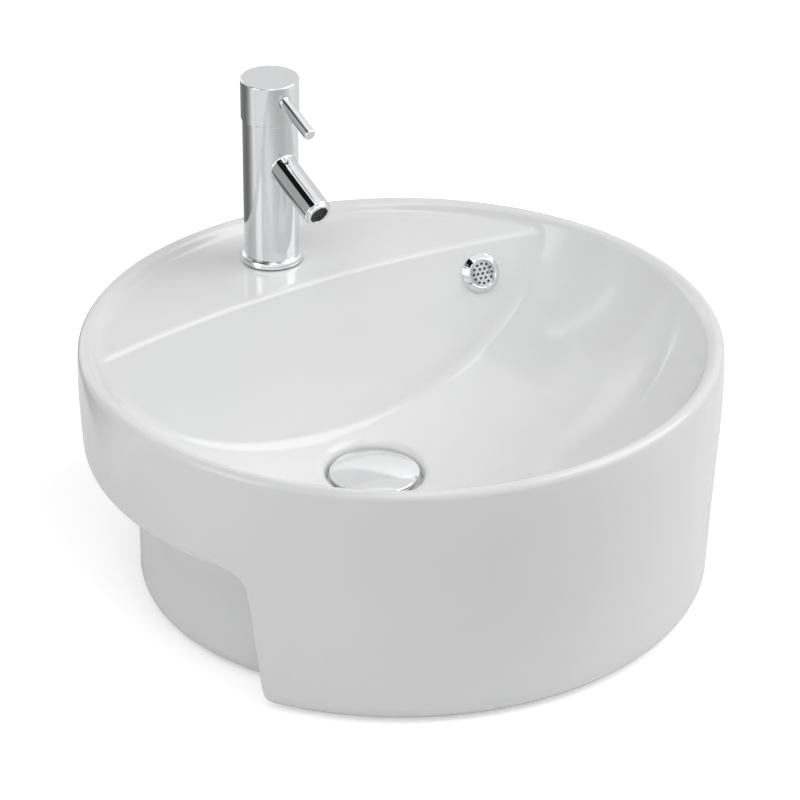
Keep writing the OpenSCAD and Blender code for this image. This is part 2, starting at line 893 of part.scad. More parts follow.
module cartridge_base() {
    color("ivory")
        at_tap()
            difference() {
                union() {
                    translate([0, 0, z_cart_base]) cylinder(r = cartridge_r, h = cart_base_t);
                    for (s = [-1, 1])
                        translate([s * key_x, key_y, z_cart_seat - key_len])
                            cylinder(r = key_r, h = key_len + cart_seal_t + over);
                }
                for (p = port_places)
                    translate([p[0], p[1], z_cart_base - over])
                        cylinder(r = port_r, h = cart_base_t + 2 * over);
            }
}

module cartridge_fixed_disc() {
    color("white")
        at_tap()
            translate([0, 0, z_fixed])
                difference() {
                    cylinder(r = cartridge_r - housing_wall - fixed_gap, h = disc_t);
                    for (p = port_places)
                        translate([p[0], p[1], -over]) cylinder(r = port_r, h = disc_t + 2 * over);
                }
}

module cartridge_moving_disc() {
    color("white")
        at_tap()
            translate([0, swing, z_moving])
                difference() {
                    cylinder(r = disc_r, h = moving_t);
                    translate([0, 0, -over]) cylinder(r = 4.6, h = 1.8 + over);
                }
}

module cartridge_carrier() {
    pocket = tip_r + free_gap;
    color("ivory")
        at_tap()
            translate([0, swing, z_carrier])
                difference() {
                    cylinder(r = disc_r, h = carrier_t);
                    translate([0, 0, z_pivot - tip_down - tip_r - free_gap - z_carrier])
                        cylinder(r = pocket, h = 10);
                }
}

module cartridge_housing() {
    color("ivory")
        at_tap()
            difference() {
                union() {
                    translate([0, 0, z_fixed]) cylinder(r = cartridge_r, h = z_cart_top - z_fixed);
                    translate([0, 0, z_cart_top]) cylinder(r = neck_r, h = neck_h);
                }
                translate([0, 0, z_fixed - over])
                    cylinder(r = cartridge_r - housing_wall, h = z_shoulder - z_fixed + over);
                translate([0, 0, z_fixed]) cylinder(r = rotor_r + running_gap, h = far);
            }
}

module cartridge_rotor() {
    slot = stem_w + 2 * free_gap;
    color("ivory")
        at_tap()
            difference() {
                union() {
                    translate([0, 0, z_rotor]) cylinder(r = rotor_r, h = z_cart_top + neck_h - z_rotor);
                    translate([0, 0, z_rotor])
                        cylinder(r = cartridge_r - housing_wall - free_gap, h = rotor_flange_t);
                }
                translate([-slot / 2, rotor_slot_end - rotor_r, z_rotor - over])
                    cube([slot, 2 * (rotor_r - rotor_slot_end), far]);
                translate([-far, 0, z_pivot]) rotate([0, 90, 0]) cylinder(r = pin_r, h = 2 * far, $fn = 32);
            }
}

module cartridge_pin() {
    reach = rotor_r - 0.6;
    color("silver")
        at_tap()
            translate([-reach, 0, z_pivot]) rotate([0, 90, 0]) cylinder(r = pin_r, h = 2 * reach, $fn = 32);
}

// The stem leans forward when the mixer is closed, and as far back at full flow
module at_stem() {
    translate([0, 0, z_pivot]) rotate([lean, 0, 0]) children();
}

module cartridge_stem() {
    color("gainsboro")
        at_tap()
            at_stem()
                difference() {
                    union() {
                        translate([-stem_w / 2, -stem_w / 2, -3.5]) cube([stem_w, stem_w, stem_up + 3.5]);
                        translate([0, 0, -tip_down]) cylinder(r = leg_r, h = tip_down);
                        translate([0, 0, -tip_down]) sphere(r = tip_r, $fn = 48);
                    }
                    translate([-far, 0, 0]) rotate([0, 90, 0])
                        cylinder(r = pin_r + running_gap, h = 2 * far, $fn = 32);
                }
}

module cartridge_nut() {
    flats = nut_r - 2.2;
    color("goldenrod")
        at_tap()
            translate([0, 0, z_cart_top])
                difference() {
                    union() {
                        cylinder(r = nut_r, h = cap_nut_h);
                        translate([0, 0, cap_nut_h]) cylinder(r = flats, h = cap_nut_hex_h, $fn = 6);
                    }
                    translate([0, 0, -over])
                        cylinder(r = neck_r + fixed_gap, h = cap_nut_h + cap_nut_hex_h + 2 * over);
                }
}

module cover_dome() {
    skirt_low = z_cart_top + cap_nut_h + free_gap;
    color("silver")
        at_tap()
            difference() {
                union() {
                    intersection() {
                        translate([0, 0, z_pivot]) sphere(r = dome_r, $fn = 120);
                        translate([0, 0, z_seam]) cylinder(r = tap_r, h = 30);
                    }
                    translate([0, 0, skirt_low]) cylinder(r = nut_r, h = z_seam - skirt_low + over);
                }
                translate([0, 0, z_pivot]) sphere(r = dome_r - dome_t, $fn = 120);
                translate([0, 0, skirt_low - over])
                    cylinder(r = nut_r - dome_skirt_t, h = cap_nut_hex_h + 2.5 * over);
                translate([0, 0, z_pivot]) cylinder(r = dome_mouth_r, h = far);
            }
}

// Handle

module handle_head() {
    round = 0.8;
    socket = stem_w + 2 * fixed_gap;
    color("silver")
        at_tap()
            difference() {
                rotate_extrude()
                    polygon(concat(
                        [[0, z_seam - 3], [head_r, z_seam - 3]],
                        arc(head_r - round, z_head_top - round, round, 0, 90, 4),
                        [[0, z_head_top]]
                    ));
                translate([0, 0, z_pivot]) sphere(r = dome_r + free_gap, $fn = 144);
                at_stem()
                    translate([-socket / 2, -socket / 2, 0]) cube([socket, socket, stem_up + fixed_gap]);
                at_lever_root() cylinder(r = lever_r + fixed_gap, h = 40);
                translate([0, -stem_w / 2, z_grub])
                    rotate([-90, 0, 0]) cylinder(r = grub_r + fixed_gap, h = far);
            }
}

// The start of the lever's bar, inside the head
module at_lever_root() {
    translate([0, lever_root - head_r, z_head_top - lever_drop + lever_root * tan(droop)])
        along_slope() children();
}

module handle_lever() {
    len = (lever_reach - head_r + lever_root) / cos(droop);
    edge = 0.8;
    color("silver")
        at_tap()
            at_lever_root() {
                cylinder(r = lever_r, h = len - edge);
                translate([0, 0, len - edge]) cylinder(h = edge, r1 = lever_r, r2 = lever_r - edge);
            }
}

module handle_grub_screw() {
    // The tip bears on the stem's rear face
    face = (stem_w / 2 + fixed_gap) / cos(lean) - (z_grub - z_pivot) * tan(lean);
    color("dimgray")
        at_tap()
            translate([0, face + 0.6, z_grub])
                rotate([-90, 0, 0])
                    difference() {
                        cylinder(r = grub_r, h = 8);
                        translate([0, 0, 5.5]) cylinder(r = 1.15, h = 4, $fn = 6);
                    }
}

module handle_plug() {
    color("gainsboro")
        at_tap()
            translate([0, head_r - 0.3 - plug_t, z_grub])
                rotate([-90, 0, 0]) cylinder(r = grub_r, h = plug_t);
}

// Fixing under the deck

module mounting_stud() {
    color("goldenrod")
        at_tap()
            translate([0, stud_y, z_spigot + stud_grip - stud_len]) cylinder(r = stud_r, h = stud_len);
}

// A horseshoe that leaves room for the two supply hoses
module horseshoe(h) {
    room_x = inlet_x + inlet_r + hose_room;
    difference() {
        cylinder(r = horseshoe_r, h = h);
        translate([-room_x, -far, -over]) cube([2 * room_x, far + hose_room, h + 2 * over]);
        translate([0, stud_y, -over]) cylinder(r = stud_r + fixed_gap, h = h + 2 * over);
    }
}

module horseshoe_gasket() {
    color("dimgray")
        at_tap() translate([0, 0, z_gasket]) horseshoe(gasket_t);
}

module horseshoe_washer() {
    color("gainsboro")
        at_tap() translate([0, 0, z_plate]) horseshoe(plate_t);
}

module mounting_nut() {
    color("goldenrod")
        at_tap()
            translate([0, stud_y, z_plate - fixing_nut_h])
                difference() {
                    cylinder(r = stud_r + 3.4, h = fixing_nut_h, $fn = 6);
                    translate([0, 0, -over]) cylinder(r = stud_r + fixed_gap, h = fixing_nut_h + 2 * over);
                }
}

basin_body();
overflow_sleeve();
overflow_bezel();
overflow_grille();
waste_seat_seal();
waste_body();
waste_boss_seal();
waste_washer();
waste_nut();
click_housing();
click_spring();
waste_plunger();
waste_cap();
waste_cap_seal();
tap_base_seal();
tap_base_ring();
tap_body();
aerator_seal();
aerator_insert();
aerator_housing();
cartridge_seals();
cartridge_base();
cartridge_fixed_disc();
cartridge_moving_disc();
cartridge_carrier();
cartridge_housing();
cartridge_rotor();
cartridge_pin();
cartridge_stem();
cartridge_nut();
cover_dome();
handle_head();
handle_lever();
handle_grub_screw();
handle_plug();
mounting_stud();
horseshoe_gasket();
horseshoe_washer();
mounting_nut();
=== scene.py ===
"""Looks for the round countertop basin.

Glazed ceramic, a chrome mixer, waste and overflow trim, and a plain pale studio.
"""

import json
import math

import bmesh
import bpy
import numpy as np
from mathutils import Matrix, Vector


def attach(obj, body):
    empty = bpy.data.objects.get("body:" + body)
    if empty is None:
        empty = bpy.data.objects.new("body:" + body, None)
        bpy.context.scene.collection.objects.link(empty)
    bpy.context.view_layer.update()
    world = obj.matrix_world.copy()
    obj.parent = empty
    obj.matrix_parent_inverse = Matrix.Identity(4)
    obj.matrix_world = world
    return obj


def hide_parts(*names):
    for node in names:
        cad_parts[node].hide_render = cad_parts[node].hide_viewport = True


# Sizes are in millimetres and angles in degrees, as in the part's own source
MM = 0.001

# Basin, outside
RIM_R = 225
RIM_Z = 183
FOOT_R = 217
LIP_R = 6
SKIRT_ROUND = 14
FOOT_SLOPE = 14
WALL_BOW = 17
TUB_R = 185.5
TUB_ROUND = 4
TUB_FOOT_R = 169
FOOT_W = 6
FOOT_TOP = 0.9
WALL_T = 11
BAND_Z = 101
BAND_ROUND = 11
STOP_Y = -108.5
STOP_ROUND = 10
STOP_LEAN = 0.06
STOP_LEAN_Z = 10
STOP_LEAN_H = 120
STOP_EDGE_R = 4
TUB_FILLET = 4
EDGE_BLEND = 30

# Bowl and deck
MOUTH_R = 215
BOWL_DEPTH = 124
BOWL_POWER = 2.7
BOWL_SIDE = 1.6
DECK_Z = 174
DECK_T = 14
RIDGE_Y = 121
RIDGE_BOW_R = 800
WALL_LEAN = 20
RIDGE_ROUND = 3.5
DECK_FILLET = 6
BOWL_FILLET = 5
FILLET_BLEND = 30
INNER_LIP = 5

# Underside
TUB_FLARE_H = 14
TUB_BAND_FILLET = 5
SKIRT_BACK_ROUND = 6
BACKING_ROUND = 10
BOSS_FILLET = 8
BOSS_TOP = 10
CHANNEL_FILLET = 6
SOCKET_FILLET = 4
SOCKET_DEPTH = 24
UNDER_ROUND = 5
UNDER_EDGE_R = 2

# Waste
DRAIN_Y = 34
SEAT_Z = 53.353
BOSS_Z = 27.353
BOSS_R = 37
DRAIN_HOLE_R = 22.75
CAP_Z = 57.753
CAP_R = 32.5
CAP_EDGE = 1.8
CAP_DOME = 3.6
RECESS_R = 34.1
RECESS_H = 16
RECESS_FLARE = 4
RECESS_ROUND = 4.5
HOLE_ROUND = 1.5
CHANNEL_Z = 40.353

# Overflow
OVERFLOW = (137, 151.5)
OVERFLOW_HOLE_R = 11.5
OVERFLOW_DEPTH = 15
CHANNEL_R = 7
CHANNEL_WALL = 5

# Mixer
TAP_Y = 168
TAP_HOLE_R = 17.5
TAP_R = 20
HEAD_R = 21
HEAD_TOP = 317
SEAM_Z = 287
BODY_Z = 180
RING_Z = 175
RING_R = 22.5
SPIGOT_Z = 171
PIVOT_Z = 270
CARTRIDGE_Z = 242
CARTRIDGE_TOP = 274
CARTRIDGE_R = 14
NUT_R = 17
DOME_R = 26.25
OUTLET = (-62, 235)
BEND_Y = -27
DROOP = 21.5
SPOUT_R = 10.5
AERATOR_R = 8.9
AERATOR_LEN = 9
LEVER_R = 4.4
LEVER_ROOT = (-14, 307.3)
LEVER_LEN = 42.2
GRUB_Z = 304
GRUB_R = 2
LEAN = 11
STEM_W = 8
STEM_UP = 40.5
INLET_R = 4.46
INLET_X = 8.4
INLET_Y = -4.5
STUD_R = 4.1
STUD_Y = 9.5
PLUNGER_R = 3
PLUNGER_GRIP = 1.6
FIT = 0.05
DOME_GAP = 0.4
STEM_FIT = 0.1
OUTLET_WAY_R = 6.5
SPOUT_WAY_R = 3.1
RISER_R = 3.5
RISER_FOOT_Z = 232.5
SUPPLY_R = 2.8
INLET_DEPTH = 14
STUD_DEPTH = 13
LEVER_TIP_R = 1.4
RING_ROLL = 2.1
NOSE_LIP_Z = 1.2
NOSE_BORE_R = 6.8
NOSE_SEAT_R = 7.65

# Underside of the waste cap
CAP_RIB = (13.5, 17.2)
CAP_RIB_H = 2.8
CAP_HUB_R = 5
CAP_HUB_H = 3.6

# Overflow fitting
BEZEL_R = 14.6
BEZEL_TOP_R = 11.6
BEZEL_H = 4.6
BEZEL_STUB_R = 10.3
GRILLE_R = 10
GRILLE_T = 1.2
HOLE_R = 0.95
HOLE_RINGS = ((12, 7.2), (6, 3.8))

# Camera
AZIMUTH = -33.7
ELEVATION = 27.55
DISTANCE = 3330
AIM = Vector((-0.6, 0.4, 132.6))
RIM_CENTRE = Vector((0, 0, RIM_Z))
LENS = 215.24

# Studio: lamps with turn, rise, side in metres and power in watts
LAMPS = {
    "key": (120, 42, 1.7, 23.5),
    "fill": (240, 66, 1.5, 16.5),
    "side": (270, 18, 0.9, 6.0),
    "back": (0, 18, 1.2, 3.5),
}
LAMP_DISTANCE = 2.2
LAMP_AIM = (0, 0, 0.1)
WORLD_LIGHT = 0.24
FLOOR_SIDE = 6
FLOOR_Z = -0.0005
FLOOR_LIFT = 0.45
MIRROR_LIFT = 0.1

# Greys of a card on the floor behind the basin, seen in mirrored rays alone, that paints a dark reflection
# down the mixer's left side, at angles round the mixer from the front towards the left
REFLECTION_TURNS = (98, 110, 121, 133, 148, 184, 214)
REFLECTION_GREYS = (0.98, 0.72, 0.4, 0.22, 0.16, 0.26, 0.5)
# Grey of a card on the left, seen in mirrored rays alone, that paints a grey reflection on the chrome
LEFT_GREY = 0.42


def smooth_step(t):
    """Eases from 0 to 1."""
    t = np.clip(t, 0, 1)
    return t * t * (3 - 2 * t)


def round_max(a, b, r):
    """Field of the overlap of two solids, with their shared edge rounded to r."""
    corner = np.hypot(np.maximum(a + r, 0), np.maximum(b + r, 0))
    return np.minimum(np.maximum(a, b), -r) + corner


def round_min(a, b, r):
    """Field of two solids joined, with a fillet of r where they meet."""
    return -round_max(-a, -b, r)


# Ceramic

def wall_radius(z):
    """Outside radius at a height: nearly a cone, with a slight bow under the rim."""
    share = np.clip((z - SKIRT_ROUND) / (RIM_Z - LIP_R - SKIRT_ROUND), -0.2, 1)
    return FOOT_R + (RIM_R - FOOT_R) * share + WALL_BOW * np.maximum(share, 0) ** 3 * (1 - share)


def bowl_height(rho, grow=0):
    """Height of the bowl's floor at a distance from the axis, for the bowl grown by an amount."""
    share = rho / (MOUTH_R + grow)
    rise = share ** BOWL_POWER - BOWL_SIDE * share ** 6 * (1 - share)
    return RIM_Z - (BOWL_DEPTH + grow) * (1 - rise)


def bowl_side(rho, z, grow=0):
    """Field of the space above the bowl's floor."""
    share = np.maximum(rho / (MOUTH_R + grow), 1e-6)
    rise = BOWL_POWER * share ** (BOWL_POWER - 1) - BOWL_SIDE * share ** 5 * (6 - 7 * share)
    slope = (BOWL_DEPTH + grow) * rise / (MOUTH_R + grow)
    return (bowl_height(rho, grow) - z) / np.sqrt(1 + slope ** 2)


def rear_wall_y(x, z):
    """Distance back to the bowl's rear wall, a shallow cone that leans back as it rises."""
    radius = RIDGE_BOW_R - (DECK_Z - z) * math.tan(math.radians(WALL_LEAN))
    return RIDGE_Y - RIDGE_BOW_R + np.sqrt(radius ** 2 - x ** 2)


def before_wall(x, y, z, grow=0):
    """Field of the space before the rear wall."""
    return (y - rear_wall_y(x, z)) * math.cos(math.radians(WALL_LEAN)) - grow


def overflow_frame():
    """Centre of the overflow on the rear wall, and the wall's outward normal there."""
    x, z = OVERFLOW
    y = float(rear_wall_y(x, z))
    radius = RIDGE_BOW_R - (DECK_Z - z) * math.tan(math.radians(WALL_LEAN))
    turn = math.asin(x / radius)
    lean = math.radians(WALL_LEAN)
    normal = Vector((-math.sin(turn) * math.cos(lean), -math.cos(turn) * math.cos(lean), math.sin(lean)))
    return Vector((x, y, z)), normal


def bar_field(x, y, z, a, b, r):
    """Field of a round bar with round ends between two points."""
    ax, ay, az = a
    dx, dy, dz = (q - p for p, q in zip(a, b))
    length = dx * dx + dy * dy + dz * dz
    t = np.clip(((x - ax) * dx + (y - ay) * dy + (z - az) * dz) / length, 0, 1)
    return np.sqrt((x - ax - t * dx) ** 2 + (y - ay - t * dy) ** 2 + (z - az - t * dz) ** 2) - r


def disc_field(x, y, z, centre, normal, r, low, high):
    """Field of a cylinder along a normal, between two distances from its centre."""
    cx, cy, cz = centre
    nx, ny, nz = normal
    along = (x - cx) * nx + (y - cy) * ny + (z - cz) * nz
    across = np.sqrt(np.maximum((x - cx) ** 2 + (y - cy) ** 2 + (z - cz) ** 2 - along ** 2, 0))
    return np.maximum(across - r, np.maximum(low - along, along - high))


def channel_route():
    """Corners of the overflow's channel, from the trim to the waste."""
    centre, _ = overflow_frame()
    bend = (OVERFLOW[0] - 25, RIDGE_Y - 12, BAND_Z + 4)
    start = (centre[0] + 2, centre[1] + 13, centre[2] - 5)
    return [start, bend, (bend[0], bend[1], CHANNEL_Z), (0, DRAIN_Y, CHANNEL_Z)]


def channel_field(x, y, z, r):
    """Field of the overflow's channel at a radius."""
    route = channel_route()
    field = bar_field(x, y, z, route[0], route[1], r)
    for a, b in zip(route[1:], route[2:]):
        field = np.minimum(field, bar_field(x, y, z, a, b, r))
    return field


def outer_field(y, z, rho):
    """The drum, cut back under the band outside the tub and behind the stop."""
    lean = math.cos(math.atan((RIM_R - FOOT_R) / (RIM_Z - LIP_R - SKIRT_ROUND)))
    drum = round_max((rho - wall_radius(z)) * lean, z - RIM_Z, LIP_R)
    drum = round_max(drum, -z, SKIRT_ROUND)
    # The stop leans back a little as it rises
    stop = STOP_Y + STOP_LEAN * np.clip(z - STOP_LEAN_Z, 0, STOP_LEAN_H)
    front = round_min(BAND_Z - z, y - stop, STOP_ROUND)
    kept = round_min(front, round_max(rho - TUB_R, -z, TUB_ROUND), TUB_FILLET)
    # The stop's edge is crisper than the band's
    edge = STOP_EDGE_R + (BAND_ROUND - STOP_EDGE_R) * smooth_step((y - STOP_Y) / EDGE_BLEND)
    return round_max(drum, kept, edge)


def bowl_void(x, y, z, rho):
    """The space over the bowl and the deck, with the ridge and the fillets between them."""
    over_deck = DECK_Z - z
    behind = round_min(before_wall(x, y, z), over_deck, RIDGE_ROUND)
    fillet = DECK_FILLET + (BOWL_FILLET - DECK_FILLET) * smooth_step((DECK_Z - 4 - z) / FILLET_BLEND)
    return round_max(bowl_side(rho, z), behind, fillet)


def underside_void(x, y, z, rho, drain):
    """The open space under the bowl, less the ceramic that backs the bowl, the waste and the channel."""
    tub_in = TUB_R - WALL_T
    inner = TUB_FOOT_R + (tub_in - TUB_FOOT_R) * np.clip((z - 1) / TUB_FLARE_H, 0, 1)
    ceiling = DECK_Z - DECK_T
    tub = np.maximum(rho - inner, z - ceiling)
    band_in = wall_radius(BAND_Z) - WALL_T
    band = np.maximum(rho - band_in, np.maximum(BAND_Z + WALL_T - z, z - ceiling))
    skirt_in = FOOT_R - SKIRT_ROUND - FOOT_W
    top = SKIRT_ROUND + FOOT_SLOPE
    low = skirt_in + (wall_radius(top) - WALL_T - skirt_in) * np.clip(z / top, 0, 1)
    side = np.where(z < top, low, wall_radius(z) - WALL_T)
    skirt = round_max(np.maximum(rho - side, z - ceiling), y - STOP_Y + WALL_T, SKIRT_BACK_ROUND)
    space = np.minimum(round_min(tub, band, TUB_BAND_FILLET), skirt)
    backing = round_max(bowl_side(rho, z, WALL_T), before_wall(x, y, z, WALL_T), BACKING_ROUND)
    boss = np.maximum(drain - BOSS_R, BOSS_Z - z)
    backing = round_min(backing, np.maximum(boss, z - SEAT_Z - BOSS_TOP), BOSS_FILLET)
    backing = round_min(backing, channel_field(x, y, z, CHANNEL_R + CHANNEL_WALL), CHANNEL_FILLET)
    centre, normal = overflow_frame()
    socket = disc_field(x, y, z, centre, normal, OVERFLOW_HOLE_R + CHANNEL_WALL, -SOCKET_DEPTH, 0)
    backing = round_min(backing, socket, SOCKET_FILLET)
    return round_max(space, -backing, UNDER_ROUND)


def ceramic_field(x, y, z):
    """The whole china body with its waste recess, overflow and tap hole."""
    rho = np.hypot(x, y)
    drain = np.hypot(x, y - DRAIN_Y)
    body = round_max(outer_field(y, z, rho), -bowl_void(x, y, z, rho), INNER_LIP)
    body = round_max(body, -underside_void(x, y, z, rho, drain), UNDER_EDGE_R)
    recess = np.maximum(drain - RECESS_R - RECESS_FLARE * (z - SEAT_Z) / RECESS_H, SEAT_Z - z)
    body = round_max(body, -recess, RECESS_ROUND)
    waste_hole = np.maximum(drain - DRAIN_HOLE_R, z - SEAT_Z - 30)
    body = round_max(body, -waste_hole, HOLE_ROUND)
    centre, normal = overflow_frame()
    body = np.maximum(body, -disc_field(x, y, z, centre, normal, OVERFLOW_HOLE_R, -OVERFLOW_DEPTH, 30))
    body = np.maximum(body, -channel_field(x, y, z, CHANNEL_R))
    tap = np.hypot(x, y - TAP_Y) - TAP_HOLE_R
    return round_max(body, -np.maximum(tap, DECK_Z - DECK_T - 7 - z), HOLE_ROUND)


# Meshes from fields

def grid_line(low, high, coarse, *fine):
    """Grid values from low to high at a coarse step, finer inside (from, to, step) stretches."""
    values = [low]
    while values[-1] < high:
        step = min([coarse] + [s for a, b, s in fine if a <= values[-1] < b])
        values.append(values[-1] + step)
    return np.array(values, dtype=float)


CORNERS = [(i, j, k) for i in (0, 1) for j in (0, 1) for k in (0, 1)]
EDGES = [(a, b) for a in CORNERS for b in CORNERS
         if sum(b) - sum(a) == 1 and all(q >= p for p, q in zip(a, b))]


def gradient(field, p, step=0.02):
    """Slope of a field at each point, from small steps along each axis."""
    slopes = []
    for axis in np.eye(3) * step:
        slopes.append((field(*(p + axis).T) - field(*(p - axis).T)) / (2 * step))
    return np.stack(slopes, axis=1)


def surface_net(field, lines):
    """Vertices, quads and normals of the field's zero level, one vertex in each grid cell that it crosses."""
    f = np.empty([len(line) for line in lines])
    y, z = np.meshgrid(lines[1], lines[2], indexing="ij")
    for i, x in enumerate(lines[0]):
        f[i] = field(np.full_like(y, x), y, z)
    inside = f < 0
    cells = tuple(n - 1 for n in f.shape)
    count = np.zeros(cells, dtype=np.int8)
    for i, j, k in CORNERS:
        count += inside[i:i + cells[0], j:j + cells[1], k:k + cells[2]]
    crossed = (count > 0) & (count < 8)
    place = np.argwhere(crossed)
    number = np.full(cells, -1)
    number[crossed] = np.arange(len(place))
    total = np.zeros((len(place), 3))
    hits = np.zeros(len(place))
    for a, b in EDGES:
        ia, ib = place + a, place + b
        fa, fb = f[tuple(ia.T)], f[tuple(ib.T)]
        cross = (fa < 0) != (fb < 0)
        pa = np.stack([lines[n][ia[:, n]] for n in range(3)], axis=1)
        pb = np.stack([lines[n][ib[:, n]] for n in range(3)], axis=1)
        t = np.where(cross, fa / np.where(cross, fa - fb, 1), 0)[:, None]
        total += np.where(cross[:, None], pa + t * (pb - pa), 0)
        hits += cross
    points = total / hits[:, None]
    quads = []
    for axis in range(3):
        before = np.take(inside, range(f.shape[axis] - 1), axis=axis)
        after = np.take(inside, range(1, f.shape[axis]), axis=axis)
        edge = np.argwhere(before != after)
        starts_inside = before[tuple(edge.T)]
        u, v = np.eye(3, dtype=int)[(axis + 1) % 3], np.eye(3, dtype=int)[(axis + 2) % 3]
        ring = [number[tuple((edge - off).T)] for off in (u + v, v, 0 * u, u)]
        quad = np.stack(ring, axis=1)
        quads.append(np.where(starts_inside[:, None], quad, quad[:, ::-1]))
    for _ in range(4):
        slope = gradient(field, points)
        size = np.maximum((slope ** 2).sum(axis=1), 0.05)
        move = -(field(*points.T) / size)[:, None] * slope
        reach = np.maximum(np.linalg.norm(move, axis=1), 1e-9)
        points = points + move * np.minimum(1, 0.6 / reach)[:, None]
    slope = gradient(field, points)
    normals = slope / np.maximum(np.linalg.norm(slope, axis=1), 1e-9)[:, None]
    return points, np.concatenate(quads), normals


def field_object(name, field, lines):
    """Mesh object of a field's zero level on a grid, with smooth normals."""
    points, quads, normals = surface_net(field, lines)
    mesh = bpy.data.meshes.new(name)
    mesh.vertices.add(len(points))
    mesh.vertices.foreach_set("co", (points * MM).ravel())
    mesh.loops.add(quads.size)
    mesh.loops.foreach_set("vertex_index", quads.ravel().astype(np.int32))
    mesh.polygons.add(len(quads))
    mesh.polygons.foreach_set("loop_start", np.arange(0, quads.size, 4, dtype=np.int32))
    mesh.update(calc_edges=True)
    mesh.polygons.foreach_set("use_smooth", np.ones(len(quads), dtype=bool))
    mesh.normals_split_custom_set_from_vertices(normals.astype(np.float32))
    made = bpy.data.objects.new(name, mesh)
    bpy.context.collection.objects.link(made)
    return made


# Turned pieces

def arc(cx, cz, r, a0, a1, n):
    """Points of an arc round a centre, from one angle to another."""
    return [(cx + r * math.cos(math.radians(a0 + (a1 - a0) * i / n)),
             cz + r * math.sin(math.radians(a0 + (a1 - a0) * i / n))) for i in range(n + 1)]


def turned(name, profile, matrix, segments=128, closed=True):
    """A profile of (radius, height) points turned about +Z and placed by a matrix in millimetres."""
    bm = bmesh.new()
    rings = []
    for r, z in profile:
        if r < 1e-6:
            rings.append([bm.verts.new((0, 0, z))])
        else:
            turn = [2 * math.pi * i / segments for i in range(segments)]
            rings.append([bm.verts.new((r * math.cos(a), r * math.sin(a), z)) for a in turn])
    pairs = list(zip(rings, rings[1:]))
    if closed:
        pairs.append((rings[-1], rings[0]))
    for low, high in pairs:
        for i in range(segments):
            j = (i + 1) % segments
            if len(low) == 1 and len(high) == 1:
                break
            if len(low) == 1:
                bm.faces.new((low[0], high[j], high[i]))
            elif len(high) == 1:
                bm.faces.new((low[i], low[j], high[0]))
            else:
                bm.faces.new((low[i], low[j], high[j], high[i]))
    bmesh.ops.recalc_face_normals(bm, faces=bm.faces)
    bm.transform(Matrix.Scale(MM, 4) @ matrix)
    mesh = bpy.data.meshes.new(name)
    bm.to_mesh(mesh)
    bm.free()
    made = bpy.data.objects.new(name, mesh)
    soften(made)
    bpy.context.collection.objects.link(made)
    return made


def facing(centre, normal):
    """Matrix that puts a turned piece at a place with its +Z along a normal."""
    return Matrix.Translation(centre) @ Vector(normal).to_track_quat("Z", "Y").to_matrix().to_4x4()


def place_metres(piece, matrix):
    """Moves a mesh in metres by a matrix in millimetres."""
    move = matrix.copy()
    move.translation = matrix.translation * MM
    piece.data.transform(move)
    turn = np.array(matrix.to_3x3())
    count = len(piece.data.loops)
    normals = np.empty(count * 3, dtype=np.float32)
    piece.data.corner_normals.foreach_get("vector", normals)
    piece.data.normals_split_custom_set((normals.reshape(-1, 3) @ turn.T).tolist())


def soften(node):
    """Shades a node's mesh smooth, apart from its sharp edges."""
    for face in node.data.polygons:
        face.use_smooth = True
    node.data.set_sharp_from_angle(angle=math.radians(32))


def dress(piece, material, body, slot, *nodes):
    """Gives a piece its material and body and hides the nodes that it replaces; the slot is not used."""
    piece.data.materials.clear()
    piece.data.materials.append(material)
    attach(piece, body)
    if nodes:
        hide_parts(*nodes)
    return piece


# Materials

def new_material(name):
    """A material with its nodes, links and shader."""
    material = bpy.data.materials.new(name)
    material.use_nodes = True
    tree = material.node_tree
    return material, tree.nodes, tree.links, tree.nodes["Principled BSDF"]


def noise(nodes, links, scale, detail):
    """Noise over the piece's own coordinates."""
    where = nodes.new("ShaderNodeTexCoord")
    made = nodes.new("ShaderNodeTexNoise")
    made.inputs["Scale"].default_value = scale
    made.inputs["Detail"].default_value = detail
    made.inputs["Roughness"].default_value = 0.5
    links.new(where.outputs["Object"], made.inputs["Vector"])
    return made.outputs["Fac"]


def ramp(nodes, links, source, low, high):
    """Colours from low to high as a value goes from 0.35 to 0.65."""
    made = nodes.new("ShaderNodeValToRGB")
    first, last = made.color_ramp.elements
    first.position, first.color = 0.35, (*low, 1)
    last.position, last.color = 0.65, (*high, 1)
    links.new(source, made.inputs["Fac"])
    return made.outputs["Color"]


def span(nodes, links, source, low, high):
    """A value from low to high as the source goes from 0.3 to 0.7."""
    made = nodes.new("ShaderNodeMapRange")
    made.inputs["From Min"].default_value = 0.3
    made.inputs["From Max"].default_value = 0.7
    made.inputs["To Min"].default_value = low
    made.inputs["To Max"].default_value = high
    links.new(source, made.inputs["Value"])
    return made.outputs["Result"]


def bump(nodes, links, source, distance):
    """Relief of a height in metres."""
    made = nodes.new("ShaderNodeBump")
    made.inputs["Distance"].default_value = distance
    made.inputs["Strength"].default_value = 1.0
    links.new(source, made.inputs["Height"])
    return made.outputs["Normal"]


def surface(name, low, high, colour_scale, rough, rough_scale, bump_scale, bump_height, metallic=0.0):
    """A finish with slow colour variation, uneven roughness and a fine relief."""
    material, nodes, links, shader = new_material(name)
    shader.inputs["Metallic"].default_value = metallic
    shader.inputs["IOR"].default_value = 1.5
    colour = ramp(nodes, links, noise(nodes, links, colour_scale, 3), low, high)
    gloss = span(nodes, links, noise(nodes, links, rough_scale, 4), *rough)
    relief = bump(nodes, links, noise(nodes, links, bump_scale, 2), bump_height)
    links.new(colour, shader.inputs["Base Color"])
    links.new(gloss, shader.inputs["Roughness"])
    links.new(relief, shader.inputs["Normal"])
    return material


def glazed():
    """Glossy white glaze with a faint, broad waviness."""
    return surface("glaze", (0.845, 0.85, 0.85), (0.865, 0.868, 0.862), 7,
                   (0.06, 0.12), 40, 22, 0.00012)


